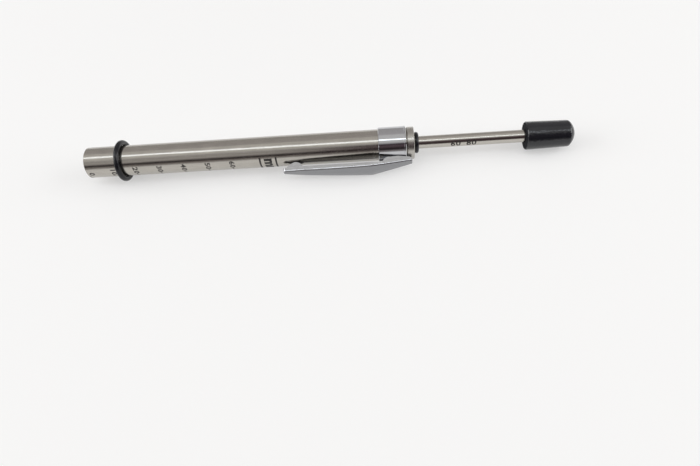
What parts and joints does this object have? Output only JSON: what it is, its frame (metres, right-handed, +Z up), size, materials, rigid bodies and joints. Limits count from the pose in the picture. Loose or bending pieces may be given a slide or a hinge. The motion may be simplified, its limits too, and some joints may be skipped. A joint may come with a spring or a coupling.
{
  "type": "belt tension tester",
  "caption": "Pencil-type belt tension tester: scaled steel tube with a spring-loaded plunger, rubber marker rings, push cap and a pocket clip.",
  "frame": {"origin": "centre of the belt end's flat face, on the tool's axis, the zero of the deflection scale", "axes": "+X along the tool's axis from the belt end to the push cap, +Z up as the tool lies on a table, the pocket clip points towards -Y and 12 degrees down"},
  "size_m": [0.1977, 0.0204, 0.017],
  "materials": {
    "stainless_tube": "brushed along its length",
    "turned_steel": "turned, fine rings",
    "ground_rod": "ground and polished",
    "spring_wire": "oiled spring wire",
    "brass": "turned",
    "clip_chrome": "bright plated",
    "black_rubber": "satin moulded",
    "soft_washer": "matt"
  },
  "bodies": {
    "barrel": {"barrel_tube": "stainless_tube", "belt_end_plug": "turned_steel", "spring_seat": "turned_steel", "force_spring": "spring_wire", "stop_bumper": "soft_washer", "guide_bush": "turned_steel", "bush_pins": "turned_steel", "clip_band": "clip_chrome", "clip_pin": "clip_chrome"},
    "plunger": {"plunger_rod": "ground_rod", "spring_follower": "brass", "follower_pin": "turned_steel", "stop_clip": "spring_wire", "push_cap": "black_rubber", "cap_core": "turned_steel", "cap_screw": "turned_steel"},
    "force_marker": {"force_ring": "black_rubber"},
    "deflection_marker": {"deflection_ring": "black_rubber"},
    "clip": {"clip_arm": "clip_chrome"}
  },
  "joints": [
    {"name": "plunger_slide", "type": "slide", "parent": "barrel", "child": "plunger", "axis": [-1, 0, 0], "range_m": [0, 0.038], "stiffness_N_per_m": 3240, "springref_m": -0.002, "deforming": ["force_spring"]},
    {"name": "force_ring_slide", "type": "slide", "parent": "plunger", "child": "force_marker", "axis": [1, 0, 0], "range_m": [0, 0.038]},
    {"name": "deflection_ring_slide", "type": "slide", "parent": "barrel", "child": "deflection_marker", "axis": [1, 0, 0], "range_m": [-0.0125, 0.0627]},
    {"name": "clip_flex", "type": "hinge", "parent": "barrel", "child": "clip", "pos_m": [0.129, -0.00753, -0.0016], "axis": [0, -0.2079, 0.9781], "range_deg": [0, 4], "stiffness_Nm_per_rad": 2, "springref_deg": -1.15}
  ],
  "couplings": [
    {"joint": "force_ring_slide", "follows": "plunger_slide", "ratio": 1}
  ]
}
